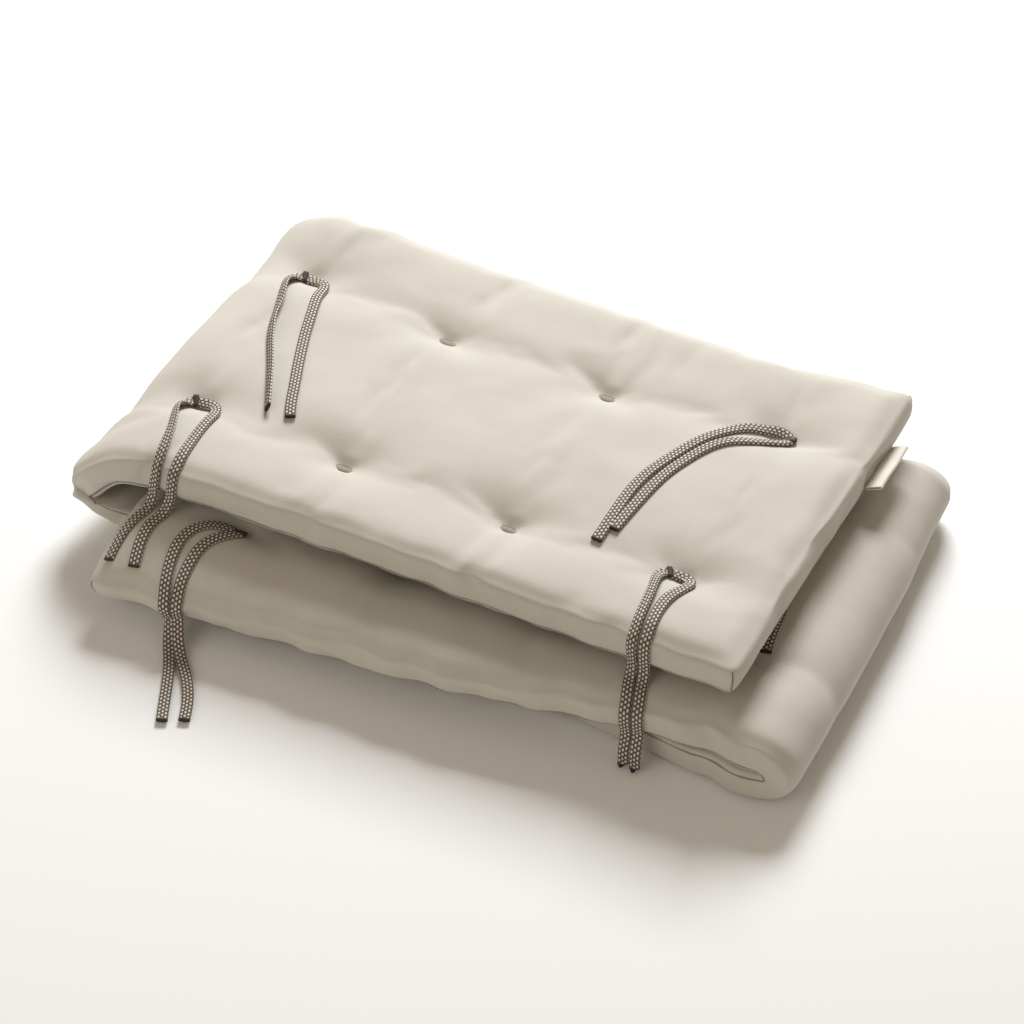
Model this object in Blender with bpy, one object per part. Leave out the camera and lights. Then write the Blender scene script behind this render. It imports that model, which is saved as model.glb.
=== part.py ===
"""Crib bumper: a long padded strip, folded in three layers, with its tie cords and side label.

Metres, +Z up.  The origin is on the surface that the strip lies on, under the middle of the strip.
The strip is cut flat first: s runs along it from its outer end to its inner end, and v across it, from
the front edge (negative) to the back edge.  It is then folded twice, always to the underside.
"""
import math
from collections import namedtuple

import bmesh
import bpy
import numpy as np
from mathutils import Vector

# ---------------------------------------------------------------- the strip, cut flat
LENGTH = 1.528
WIDTH = 0.310
CROWN = 0.0125            # half the thickness in the middle of the strip
EDGE = 0.0100             # half the thickness near the seam
# how far each pair of tufts is from the outer end, in mm: the folds take up length between them
TUFTS = (62, 187, 312, 436, 568, 699, 831, 962, 1094, 1212, 1330, 1448)
TUFT_ROW = 0.080          # from the middle line to each row of tufts
TUFT_DEPTH = 0.006
TUFT_REACH = 0.022

# ---------------------------------------------------------------- how it is folded
OUTER_END = (0.2238, 0.0325)  # where the middle of the outer end lies
TOP_HEIGHT = 0.0670       # height of the middle of the top layer
FLOOR_HEIGHT = 0.0120     # height of the middle of a layer that lies on the surface
# where each fold starts along the strip, its skew in degrees, its radius at the middle of the padding
Fold = namedtuple("Fold", "start skew radius")
FOLDS = (
    Fold(0.454, -0.8, 0.0275),
    Fold(1.013, -3.7, 0.0130),
)
# how far the top layer stands above its height, in mm, from the outer end to the first fold
Lift = namedtuple("Lift", "back front")
LIFTS = (
    Lift(7.0, 8.0),
    Lift(-2.0, 7.0),
    Lift(-2.0, 9.0),
    Lift(-1.0, 10.0),
    Lift(0.0, 9.0),
)
DROOP = 0.090             # how far past the bottom layer's edge the middle layer has come down
DROOP_START = 0.060       # it starts to come down this far after the second fold
CROWDED = 0.010           # the inner end is pushed together at the back, inside the first fold
CROWDED_FROM = 0.200
NUDGE = 0.0001


def smooth(t):
    """Go from 0 to 1 with no corner at either end."""
    t = np.clip(t, 0.0, 1.0)
    return t * t * (3.0 - 2.0 * t)


def past_fold(s, v, fold):
    """How far each flat point is past the start of a fold, square to the fold line."""
    turn = math.radians(fold.skew)
    return (s - fold.start) * math.cos(turn) - v * math.sin(turn)


def fold_plan(s, v):
    """Fold the flat strip: each fold is a half turn about its line, then the strip runs back."""
    along = np.array([-1.0, 0.0, 0.0])
    across = np.array([0.0, 1.0, 0.0])
    up = np.array([0.0, 0.0, 1.0])
    place = np.stack([OUTER_END[0] - s, OUTER_END[1] + v, np.full_like(s, TOP_HEIGHT)], -1)
    for fold in FOLDS:
        turn, radius = math.radians(fold.skew), fold.radius
        ahead = math.cos(turn) * along - math.sin(turn) * across
        past = past_fold(s, v, fold)
        angle = np.clip(past / radius, 0.0, math.pi)
        beyond = np.maximum(past - math.pi * radius, 0.0)
        reach = radius * np.sin(angle) - beyond - past
        sink = radius * (1.0 - np.cos(angle))
        bent = place + reach[..., None] * ahead - sink[..., None] * up
        place = np.where((past > 0.0)[..., None], bent, place)
        along = along - 2.0 * along.dot(ahead) * ahead
        across = across - 2.0 * across.dot(ahead) * ahead
        up = -up
    return place


def between(a, b, c, d, t):
    """A point a share t of the way from b to c, on a smooth curve that also goes through a and d."""
    bend = 2.0 * a - 5.0 * b + 4.0 * c - d
    twist = 3.0 * b - a - 3.0 * c + d
    return 0.5 * (2.0 * b + (c - a) * t + bend * t ** 2 + twist * t ** 3)


def lift_at(share, heights):
    """Read a column of heights on a smooth curve; share runs from 0 to 1 down the column."""
    rows = np.array(heights) / 1000.0
    rows = np.concatenate([[2.0 * rows[0] - rows[1]], rows, [rows[-1]]])
    spans = len(heights) - 1
    t = np.clip(share, 0.0, 1.0) * spans
    i = np.minimum(t.astype(int), spans - 1)
    return between(rows[i], rows[i + 1], rows[i + 2], rows[i + 3], t - i)


def middle(s, v):
    """The middle of the padding, folded, with the layers' real heights."""
    s, v = np.broadcast_arrays(np.asarray(s, float), np.asarray(v, float))
    first, second = FOLDS
    place = fold_plan(s, v)
    x, y, z = place[..., 0], place[..., 1], place[..., 2]

    # the top layer is uneven, and evens out through the first fold
    share = s / first.start
    back, front = (lift_at(share, [getattr(row, side) for row in LIFTS]) for side in Lift._fields)
    lift = front + (back - front) * (0.5 + v / WIDTH)
    z = z + lift * (1.0 - smooth(past_fold(s, v, first) / (math.pi * first.radius)))

    # the middle layer overhangs the bottom layer's front edge, and comes down to the surface
    left, right = fold_plan(np.array([first.start + 0.12, second.start - 0.02]), np.full(2, -WIDTH / 2.0))
    edge = (right - left) / np.linalg.norm(right - left)
    overhang = (x - left[0]) * edge[1] - (y - left[1]) * edge[0]
    past_second = past_fold(s, v, second) - math.pi * second.radius
    down = smooth(overhang / DROOP) * smooth(past_second / DROOP_START)
    z = z - (z - FLOOR_HEIGHT) * down

    # the inner end is crowded together at the back
    crowd = smooth((s - (LENGTH - CROWDED_FROM)) / CROWDED_FROM) * smooth(0.5 + v / WIDTH)
    x = x + CROWDED * crowd
    return np.stack([x, y, z], -1)


def on_strip(s, v, height):
    """A point at a height above the middle of the padding, square to it, on the outer face's side."""
    s, v, height = np.broadcast_arrays(np.asarray(s, float), np.asarray(v, float), height)
    ds = middle(s + NUDGE, v) - middle(s - NUDGE, v)
    dv = middle(s, v + NUDGE) - middle(s, v - NUDGE)
    out = np.cross(dv, ds)
    out = out / np.linalg.norm(out, axis=-1, keepdims=True)
    return middle(s, v) + height[..., None] * out


# ---------------------------------------------------------------- the padded strip's own shape
# the side wall's outline: how far in from the edge (mm), and the share of the half thickness there
Wall = namedtuple("Wall", "inset share")
WALLS = (
    Wall(0.0, 0.45),
    Wall(2.5, 0.80),
    Wall(10.0, 0.97),
)
END_INSET = WALLS[-1].inset / 1000.0
ACROSS = 12               # spans across each face, between the side walls
# stations along the strip: where a stretch starts, and how many spans it has
Stretch = namedtuple("Stretch", "start spans")
STRETCHES = (
    Stretch(END_INSET, 25),
    Stretch(0.445, 10),
    Stretch(0.549, 26),
    Stretch(1.002, 8),
    Stretch(1.065, 26),
    Stretch(LENGTH - END_INSET, 0),
)


def stations():
    """Where the cross-sections stand along the strip, and the share of the thickness at each."""
    rows = [(wall.inset / 1000.0, wall.share) for wall in WALLS[:-1]]
    for this, following in zip(STRETCHES, STRETCHES[1:]):
        step = (following.start - this.start) / this.spans
        rows += [(this.start + step * i, 1.0) for i in range(this.spans)]
    rows.append((STRETCHES[-1].start, 1.0))
    rows += [(LENGTH - wall.inset / 1000.0, wall.share) for wall in reversed(WALLS[:-1])]
    return rows


def skew_at(s):
    """The slant of a cross-section: square at the ends, and along the fold line at each fold."""
    places = [0.10] + [fold.start + math.pi * fold.radius / 2.0 for fold in FOLDS] + [LENGTH - 0.15]
    slants = [0.0] + [math.tan(math.radians(fold.skew)) for fold in FOLDS] + [0.0]
    return np.interp(s, places, slants)


def half_thickness(s, v):
    """Half the padding's thickness: crowned between the edges, and drawn in at the tufts."""
    crown = CROWN - (CROWN - EDGE) * np.clip(np.abs(v) / (WIDTH / 2.0), 0.0, 1.0) ** 4
    near = np.min(np.abs(s - np.array(TUFTS) / 1000.0))
    row = np.abs(np.abs(v) - TUFT_ROW)
    return crown - TUFT_DEPTH * np.exp(-(near ** 2 + row ** 2) / TUFT_REACH ** 2)


def section():
    """One cross-section's outline, as pairs of v and share of half thickness, once round."""
    wall = [(WIDTH / 2.0 - row.inset / 1000.0, row.share) for row in WALLS]
    inner = wall[-1][0]
    face = [(-inner + 2.0 * inner * i / ACROSS, 1.0) for i in range(1, ACROSS)]
    outer = [(-v, share) for v, share in wall] + face + wall[::-1]
    return outer + [(v, -share) for v, share in reversed(outer)]


def make_pad():
    """Loft the cross-sections along the folded strip, and close both ends."""
    outline = section()
    mesh = bmesh.new()
    rings = []
    for s, end_share in stations():
        ring = []
        for v, share in outline:
            along = s + v * skew_at(s)
            height = half_thickness(along, v) * share * end_share
            point = on_strip(along, v, np.array(height))
            point[2] = max(point[2], 0.0)
            ring.append(mesh.verts.new(point))
        rings.append(ring)
    count = len(outline)
    for lower, upper in zip(rings, rings[1:]):
        for i in range(count):
            j = (i + 1) % count
            mesh.faces.new((lower[i], lower[j], upper[j], upper[i]))
    for ring in (rings[0], rings[-1]):
        for i in range(count // 2 - 1):
            mesh.faces.new((ring[i], ring[i + 1], ring[count - 2 - i], ring[count - 1 - i]))
    bmesh.ops.recalc_face_normals(mesh, faces=mesh.faces)
    bmesh.ops.triangulate(mesh, faces=mesh.faces)
    return finish("pad", mesh, "cotton")


# ---------------------------------------------------------------- materials and objects
# colour, roughness
FINISHES = {
    "cotton": ((0.62, 0.58, 0.50, 1.0), 0.9),
    "cord": ((0.16, 0.13, 0.11, 1.0), 0.85),
    "label": ((0.80, 0.77, 0.69, 1.0), 0.8),
}


def finish_of(name):
    """The material of one finish, made the first time that it is asked for."""
    if name in bpy.data.materials:
        return bpy.data.materials[name]
    colour, roughness = FINISHES[name]
    material = bpy.data.materials.new(name)
    material.use_nodes = True
    shader = material.node_tree.nodes["Principled BSDF"]
    shader.inputs["Base Color"].default_value = colour
    shader.inputs["Roughness"].default_value = roughness
    shader.inputs["Metallic"].default_value = 0.0
    return material


def finish(name, mesh, material):
    """Turn a bmesh into a named, smooth object with its material."""
    data = bpy.data.meshes.new(name)
    mesh.to_mesh(data)
    mesh.free()
    data.shade_smooth()
    data.materials.append(finish_of(material))
    thing = bpy.data.objects.new(name, data)
    bpy.context.collection.objects.link(thing)
    return thing


# ---------------------------------------------------------------- the side label
LABEL_LENGTH = 0.048      # along the end seam
LABEL_REACH = 0.013       # out of the seam
LABEL_PLY = 0.0008
LABEL_GAP = 0.0012        # between the two plies of the loop
LABEL_RISE = 25.0         # degrees that it stands up
LABEL_FROM = 0.071        # where it starts, from the middle line of the strip
LABEL_CLEAR = 0.0012      # between its root and the end wall
SEAM_HEIGHT = -0.0075     # the seam, from the middle of the padding


def make_label():
    """A strip folded in two with its ends sewn into the seam: a loop in section, open at both sides."""
    outer = LABEL_PLY + LABEL_GAP / 2.0
    inner = LABEL_GAP / 2.0
    turn_at = LABEL_REACH - outer
    steps = 8
    half_turn = [math.pi / 2.0 - math.pi * i / steps for i in range(steps + 1)]
    outline = [(0.0, outer)] + [(turn_at + outer * math.cos(a), outer * math.sin(a)) for a in half_turn]
    outline += [(0.0, -outer), (0.0, -inner)]
    outline += [(turn_at + inner * math.cos(a), inner * math.sin(a)) for a in reversed(half_turn)]
    outline.append((0.0, inner))
    mesh = bmesh.new()
    loop = mesh.faces.new([mesh.verts.new((out, 0.0, up)) for out, up in outline])
    grown = bmesh.ops.extrude_face_region(mesh, geom=[loop])
    moved = [item for item in grown["geom"] if isinstance(item, bmesh.types.BMVert)]
    bmesh.ops.translate(mesh, verts=moved, vec=(0.0, LABEL_LENGTH, 0.0))
    bmesh.ops.recalc_face_normals(mesh, faces=mesh.faces)
    bmesh.ops.triangulate(mesh, faces=mesh.faces)
    label = finish("label", mesh, "label")
    label.data.set_sharp_from_angle(angle=math.radians(40.0))
    root = on_strip(0.0, LABEL_FROM, np.array(SEAM_HEIGHT))
    label.location = (root[0] + LABEL_CLEAR, root[1], root[2])
    label.rotation_euler = (0.0, -math.radians(LABEL_RISE), 0.0)
    return label


# ---------------------------------------------------------------- the tie cords
CORD = 0.004              # a plain round stand-in for the flat woven cord
CORD_STEP = 0.009         # between the points along a cord
# each free end of a tie, from its tack to its cut end: x, y, z in mm
ROUTES = {
    "tie_end_back_upper": (
        (160, 118, 83), (151, 119, 83.5), (142, 117, 84), (134, 113, 85), (126, 107, 85.5), (118, 96, 86),
        (112, 85, 86), (105, 70, 86.5), (100, 56, 87), (95, 40, 87.5), (92, 25, 88), (90, 7, 88.5),
        (90, -12, 89), (90, -30, 89.5), (90, -48, 89.5)),
    "tie_end_back_lower": (
        (160, 110, 83), (151, 104, 83.5), (142, 98, 85), (134, 93, 86), (126, 87, 86.5), (119, 78, 86.5),
        (114, 68, 87), (109, 54, 87.5), (105, 41, 87.5), (102, 24, 88), (100, 7, 88.5), (98, -14, 89),
        (96, -34, 89.5)),
    "tie_end_front_left": (
        (147.5, -49, 85.5), (141, -48, 87), (138, -57, 88.5), (141, -72, 89.5), (144, -87, 90),
        (146, -103, 90), (148, -116, 89), (149, -124, 84), (150, -126.5, 74), (151, -127.5, 64),
        (152.5, -131, 55.5), (155, -138, 53), (157.5, -145, 50.5), (159, -151.5, 44), (160, -154, 33),
        (161, -154.5, 21), (161.5, -154.5, 11), (162, -154.5, 3)),
    "tie_end_front_right": (
        (153.5, -49, 85.5), (161, -47, 86.5), (165, -54, 87.5), (164, -63, 88.5), (161, -75, 89.5),
        (159, -88, 90), (160, -102, 90), (161, -115, 89), (161.5, -123.5, 84), (162, -127, 73),
        (163, -129, 63), (165, -134, 54.5), (167, -140, 53), (169, -146, 51), (170.5, -152.5, 43.5),
        (171, -154.5, 31), (171.5, -155, 20), (172, -155, 11), (172, -155, 3)),
    "tie_fold_back_left": (
        (-215, 117, 81.5), (-223, 116, 82), (-227, 110, 83), (-225, 99, 84.5), (-218, 80, 87),
        (-210, 53, 88.5), (-201, 32, 89.5), (-193, 18, 90), (-180, -7, 91), (-167, -34, 91.5)),
    "tie_fold_back_right": (
        (-209, 117, 81.5), (-203, 118, 82), (-198, 110, 83), (-198, 99, 84.5), (-191, 77, 87),
        (-184, 54, 88.5), (-176, 32, 89.5), (-168, 11, 90.5), (-161, -6, 91), (-156, -20, 91.5),
        (-149, -35, 92)),
    "tie_fold_front_left": (
        (-217, -42, 86), (-225, -45, 87.5), (-226, -55, 89.5), (-220, -69, 91), (-214, -84, 91.5),
        (-209, -102, 91.5), (-206, -117, 90.5), (-206, -125.5, 84), (-206, -129, 74), (-207, -132, 63.5),
        (-209, -138, 55), (-210.5, -147, 50), (-211, -160, 45.5), (-211, -174, 39.5)),
    "tie_fold_front_right": (
        (-211, -42, 86), (-203, -42, 87.5), (-198, -51, 89), (-197, -67, 91), (-196, -79, 91.5),
        (-194, -95, 91.5), (-192, -112, 91), (-192, -122, 87.5), (-192, -128.5, 79), (-193, -132, 69),
        (-196, -136, 60), (-199, -143, 53), (-198, -157, 48), (-194, -173, 41.5)),
    "tie_low_left": (
        (-143, -114.5, 51), (-155, -118, 53), (-165, -124.5, 54), (-172, -136, 53), (-174, -148, 50),
        (-173, -159, 46.5), (-169, -172, 41), (-166, -181, 35.5), (-164, -187, 26), (-162, -188, 15),
        (-159, -191, 6.5), (-155, -198, 3), (-146, -213, 2.5), (-134, -240, 2.5), (-126, -258, 2.5)),
    "tie_low_right": (
        (-142, -120.5, 51), (-149, -126, 52.5), (-155, -135, 52.5), (-159, -145, 51), (-159.5, -155, 48.5),
        (-159, -170, 42), (-157, -181, 34.5), (-155, -188, 25), (-153, -189.5, 14.5), (-150, -193, 6.5),
        (-145, -200, 3), (-133, -213, 2.5), (-121, -231, 2.5), (-113, -251, 2.5)),
    "tie_under_loop": (
        (210, -49, 50.5), (200, -45, 53), (190, -35, 54), (187, -20, 54), (193, -7, 54), (204, -3, 54),
        (213, -11, 54), (216, -25, 54), (217, -39, 54), (219, -51, 53.5), (220, -60, 53)),
    "tie_under_straight": (
        (209, -56, 50.5), (200, -59, 53), (184, -63, 54), (162, -67, 54), (137, -71, 54), (112, -73, 54)),
}


def smooth_route(route):
    """Points a step apart along a smooth curve through the route's own points."""
    stops = [Vector(point) / 1000.0 for point in route]
    stops = [2.0 * stops[0] - stops[1]] + stops + [2.0 * stops[-1] - stops[-2]]
    fine = []
    for a, b, c, d in zip(stops, stops[1:], stops[2:], stops[3:]):
        fine += [between(a, b, c, d, i / 10.0) for i in range(10)]
    fine.append(stops[-2])
    lengths = [0.0]
    for a, b in zip(fine, fine[1:]):
        lengths.append(lengths[-1] + (b - a).length)
    count = max(2, round(lengths[-1] / CORD_STEP))
    marks = [lengths[-1] * i / count for i in range(count + 1)]
    columns = [[point[axis] for point in fine] for axis in range(3)]
    return [Vector([np.interp(mark, lengths, column) for column in columns]) for mark in marks]


def make_cord(name, route):
    """A plain tube along one free end of a tie."""
    points = smooth_route(route)
    curve = bpy.data.curves.new(name, "CURVE")
    curve.dimensions = "3D"
    curve.bevel_depth = CORD / 2.0
    curve.bevel_resolution = 2
    curve.use_fill_caps = True
    line = curve.splines.new("POLY")
    line.points.add(len(points) - 1)
    for spot, point in zip(line.points, points):
        spot.co = (*point, 1.0)
    curve.materials.append(finish_of("cord"))
    cord = bpy.data.objects.new(name, curve)
    bpy.context.collection.objects.link(cord)
    return cord


for old in list(bpy.data.objects):
    bpy.data.objects.remove(old)

make_pad()
make_label()
for cord_name, cord_route in ROUTES.items():
    make_cord(cord_name, cord_route)
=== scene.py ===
import math
from collections import namedtuple

import bpy
import numpy as np
from mathutils import Matrix, Vector
from mathutils.bvhtree import BVHTree


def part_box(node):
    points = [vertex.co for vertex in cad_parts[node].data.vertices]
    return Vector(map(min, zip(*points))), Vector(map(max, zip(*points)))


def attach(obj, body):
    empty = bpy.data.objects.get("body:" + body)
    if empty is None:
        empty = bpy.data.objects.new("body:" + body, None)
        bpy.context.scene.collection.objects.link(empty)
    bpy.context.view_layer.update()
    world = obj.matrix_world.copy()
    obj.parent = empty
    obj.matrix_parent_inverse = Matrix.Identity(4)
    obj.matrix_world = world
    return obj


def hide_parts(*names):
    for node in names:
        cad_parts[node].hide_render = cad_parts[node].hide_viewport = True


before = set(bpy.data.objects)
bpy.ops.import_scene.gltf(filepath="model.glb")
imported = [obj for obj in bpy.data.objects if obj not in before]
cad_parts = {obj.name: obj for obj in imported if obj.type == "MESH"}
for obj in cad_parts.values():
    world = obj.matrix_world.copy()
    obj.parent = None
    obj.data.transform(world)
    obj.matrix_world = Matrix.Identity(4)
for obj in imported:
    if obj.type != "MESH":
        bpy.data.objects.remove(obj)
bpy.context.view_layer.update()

# ---------------------------------------------------------------- the padded strip
# Two cotton panels round a layer of wadding, sewn round with one seam and turned, with boxed corners.
# The outer panel wraps the side, so the seam lies low.  Two rows of tacks pull the faces together.

# How it is folded: twice, slightly askew, so that the outer end lies on top, the inner end is tucked into
# the first fold, and the outer face stays outside.  s runs along the flat strip from its outer end, and
# v across it from the front edge to the back edge.
STRIP_LENGTH = 1.528
STRIP_WIDTH = 0.310
OUTER_END = (0.2238, 0.0325)
TOP_HEIGHT = 0.0670
FLOOR_HEIGHT = 0.0120
Fold = namedtuple("Fold", "start skew radius")
FOLDS = (
    Fold(0.454, -0.8, 0.0275),
    Fold(1.013, -3.7, 0.0130),
)
# how far the top layer stands above its height, in mm, from the outer end to the first fold
Lift = namedtuple("Lift", "back front")
LIFTS = (
    Lift(7.0, 8.0),
    Lift(-2.0, 7.0),
    Lift(-2.0, 9.0),
    Lift(-1.0, 10.0),
    Lift(0.0, 9.0),
)
DROOP = 0.090             # how far past the bottom layer's front edge the middle layer sinks
DROOP_START = 0.060
CROWDED = 0.010           # how far the tucked end is pushed back by the first fold
CROWDED_FROM = 0.200
NUDGE = 0.0001


def smooth(t):
    """Go from 0 to 1 with no corner at either end."""
    t = np.clip(t, 0.0, 1.0)
    return t * t * (3.0 - 2.0 * t)


def past_fold(s, v, fold):
    """How far each flat point is past the start of a fold, square to the fold line."""
    turn = math.radians(fold.skew)
    return (s - fold.start) * math.cos(turn) - v * math.sin(turn)


def fold_plan(s, v):
    """Fold the flat strip: each fold is a half turn about its line, then the strip runs back."""
    along = np.array([-1.0, 0.0, 0.0])
    across = np.array([0.0, 1.0, 0.0])
    up = np.array([0.0, 0.0, 1.0])
    place = np.stack([OUTER_END[0] - s, OUTER_END[1] + v, np.full_like(s, TOP_HEIGHT)], -1)
    for fold in FOLDS:
        turn, radius = math.radians(fold.skew), fold.radius
        ahead = math.cos(turn) * along - math.sin(turn) * across
        past = past_fold(s, v, fold)
        angle = np.clip(past / radius, 0.0, math.pi)
        beyond = np.maximum(past - math.pi * radius, 0.0)
        reach = radius * np.sin(angle) - beyond - past
        sink = radius * (1.0 - np.cos(angle))
        bent = place + reach[..., None] * ahead - sink[..., None] * up
        place = np.where((past > 0.0)[..., None], bent, place)
        along = along - 2.0 * along.dot(ahead) * ahead
        across = across - 2.0 * across.dot(ahead) * ahead
        up = -up
    return place


def between(a, b, c, d, t):
    """A point a share t of the way from b to c, on a smooth curve that also goes through a and d."""
    bend = 2.0 * a - 5.0 * b + 4.0 * c - d
    twist = 3.0 * b - a - 3.0 * c + d
    return 0.5 * (2.0 * b + (c - a) * t + bend * t ** 2 + twist * t ** 3)


def lift_at(share, heights):
    """Read a column of heights on a smooth curve; share runs from 0 to 1 down the column."""
    rows = np.array(heights) / 1000.0
    rows = np.concatenate([[2.0 * rows[0] - rows[1]], rows, [rows[-1]]])
    spans = len(heights) - 1
    t = np.clip(share, 0.0, 1.0) * spans
    i = np.minimum(t.astype(int), spans - 1)
    return between(rows[i], rows[i + 1], rows[i + 2], rows[i + 3], t - i)


def middle(s, v):
    """The middle of the padding, folded, with the layers' real heights."""
    s, v = np.broadcast_arrays(np.asarray(s, float), np.asarray(v, float))
    first, second = FOLDS
    place = fold_plan(s, v)
    x, y, z = place[..., 0], place[..., 1], place[..., 2]
    share = s / first.start
    back, front = (lift_at(share, [getattr(row, side) for row in LIFTS]) for side in Lift._fields)
    lift = front + (back - front) * (0.5 + v / STRIP_WIDTH)
    z = z + lift * (1.0 - smooth(past_fold(s, v, first) / (math.pi * first.radius)))
    ends = (np.array([first.start + 0.12, second.start - 0.02]), np.full(2, -STRIP_WIDTH / 2.0))
    left, right = fold_plan(*ends)
    edge = (right - left) / np.linalg.norm(right - left)
    overhang = (x - left[0]) * edge[1] - (y - left[1]) * edge[0]
    past_second = past_fold(s, v, second) - math.pi * second.radius
    down = smooth(overhang / DROOP) * smooth(past_second / DROOP_START)
    z = z - (z - FLOOR_HEIGHT) * down
    crowd = smooth((s - (STRIP_LENGTH - CROWDED_FROM)) / CROWDED_FROM) * smooth(0.5 + v / STRIP_WIDTH)
    return np.stack([x + CROWDED * crowd, y, z], -1)


def outward(s, v):
    """The direction square to the strip, on its outer face's side."""
    ds = middle(s + NUDGE, v) - middle(s - NUDGE, v)
    dv = middle(s, v + NUDGE) - middle(s, v - NUDGE)
    out = np.cross(dv, ds)
    return out / np.linalg.norm(out, axis=-1, keepdims=True)


def on_strip(s, v, height):
    """A point at a height above the middle of the padding, on the outer face's side."""
    return middle(s, v) + np.asarray(height)[..., None] * outward(s, v)


# its faces, its side and its tacks
FACE_INSET = 0.006        # the faces start this far in from the edge
FACE_HEIGHT = 0.0100      # half the padding's thickness at the edge of the face
# the side, from the outer face to the inner face, in mm: how far in from the edge, and the height
Side = namedtuple("Side", "inset height")
SIDES = (
    Side(2.6, 9.3),
    Side(0.8, 7.3),
    Side(0.0, 4.2),
    Side(0.0, 0.6),
    Side(0.1, -3.0),
    Side(0.3, -5.6),
    Side(1.3, -7.0),
    Side(1.2, -7.7),
    Side(1.9, -8.9),
    Side(3.6, -9.7),
)
SEAM_ROW = 6
# the tacks: how far along, and how far across on the front and the back row, in mm
Tuft = namedtuple("Tuft", "along front back")
TUFTS = (
    Tuft(68, -82, 81),
    Tuft(194, -87, 71),
    Tuft(320, -86, 73),
    Tuft(436, -76, 84),
    Tuft(568, -80, 80),
    Tuft(699, -80, 80),
    Tuft(831, -80, 80),
    Tuft(962, -80, 80),
    Tuft(1094, -80, 80),
    Tuft(1214, -78, 80),
    Tuft(1334, -78, 80),
    Tuft(1448, -86, 80),
)
# the tacks of the outer face that hold a tie cord
TIED = {(68, -82), (68, 81), (436, -76), (436, 84), (1448, -86), (1094, -80)}
TACK_LENGTH = 0.0150
TACK_WIDTH = 0.0046


def spaced(spans):
    """Places along a line of spans, each given by its end and its cell."""
    lines = [np.array([spans[0][0]])]
    for (start, _), (end, cell) in zip(spans, spans[1:]):
        lines.append(np.linspace(start, end, max(1, round((end - start) / cell)) + 1)[1:])
    return np.concatenate(lines)


def grid_lines():
    """The grid of both faces: closer at the bends and at the tacks that lie open, wider along the rest."""
    spans = [(FACE_INSET, 0.0)]
    for tuft in TUFTS[:4]:
        spans += [(tuft.along / 1000.0 - 0.015, 0.0066), (tuft.along / 1000.0 + 0.015, 0.0040)]
    spans += [(0.560, 0.0054), (0.980, 0.0150), (1.070, 0.0058), (1.4, 0.0070),
              (STRIP_LENGTH - FACE_INSET, 0.0064)]
    half = STRIP_WIDTH / 2.0 - FACE_INSET
    across = [(-half, 0.0), (-0.140, 0.0045), (-0.100, 0.0080), (-0.074, 0.0042), (0.066, 0.0094),
              (0.088, 0.0042), (0.140, 0.0085), (half, 0.0045)]
    return spaced(spans), spaced(across)


def flat_pad():
    """The strip before it is filled: points as s, v and height, faces, and where each point belongs."""
    lines_s, lines_v = grid_lines()
    ns, nv = len(lines_s), len(lines_v)
    s, v = (a.ravel() for a in np.meshgrid(lines_s, lines_v, indexing="ij"))
    rim = [i * nv for i in range(ns)] + [(ns - 1) * nv + j for j in range(1, nv)]
    rim += [i * nv + nv - 1 for i in range(ns - 2, -1, -1)] + [j for j in range(nv - 2, 0, -1)]
    rim = np.array(rim)
    out_s = (rim // nv == ns - 1).astype(float) - (rim // nv == 0)
    out_v = (rim % nv == nv - 1).astype(float) - (rim % nv == 0)
    blocks = [np.stack([s, v, np.full_like(s, FACE_HEIGHT)], -1)]
    for side in SIDES:
        reach = FACE_INSET - side.inset / 1000.0
        height = np.full(len(rim), side.height / 1000.0)
        blocks.append(np.stack([s[rim] + out_s * reach, v[rim] + out_v * reach, height], -1))
    blocks.append(np.stack([s, v, np.full_like(s, -FACE_HEIGHT)], -1))
    points = np.concatenate(blocks)

    grid = np.arange(ns * nv).reshape(ns, nv)
    quads = np.stack([grid[:-1, :-1], grid[:-1, 1:], grid[1:, 1:], grid[1:, :-1]], -1).reshape(-1, 4)
    under = ns * nv + len(SIDES) * len(rim)
    sides = [ns * nv + k * len(rim) + np.arange(len(rim)) for k in range(len(SIDES))]
    rings = [rim, *sides, under + rim]
    faces = [quads]
    for upper, lower in zip(rings, rings[1:]):
        faces.append(np.stack([upper, np.roll(upper, -1), np.roll(lower, -1), lower], -1))
    faces.append(under + quads[:, ::-1])
    return points, faces, rings


def tuft_places():
    """Every tack: its place along and across the strip."""
    return [(tuft.along / 1000.0, v / 1000.0) for tuft in TUFTS for v in (tuft.front, tuft.back)]


# the cover's own stretch and the room in it
PRESSURE = 1.4
BENDING = 0.9
EASE = 0.012              # how much longer the cloth is than the strip
SIM_FRAMES = 16
SWELL_LIMIT = 0.024
TACK_SHARE = 0.35         # the share of the face's height that a tack leaves
WRINKLES = 0.8            # how much of the simulated wrinkles is kept
WRINKLE_LIMIT = 0.0013


def show(name, mesh):
    """Put a mesh into the scene."""
    piece = bpy.data.objects.new(name, mesh)
    bpy.context.collection.objects.link(piece)
    return piece


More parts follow.
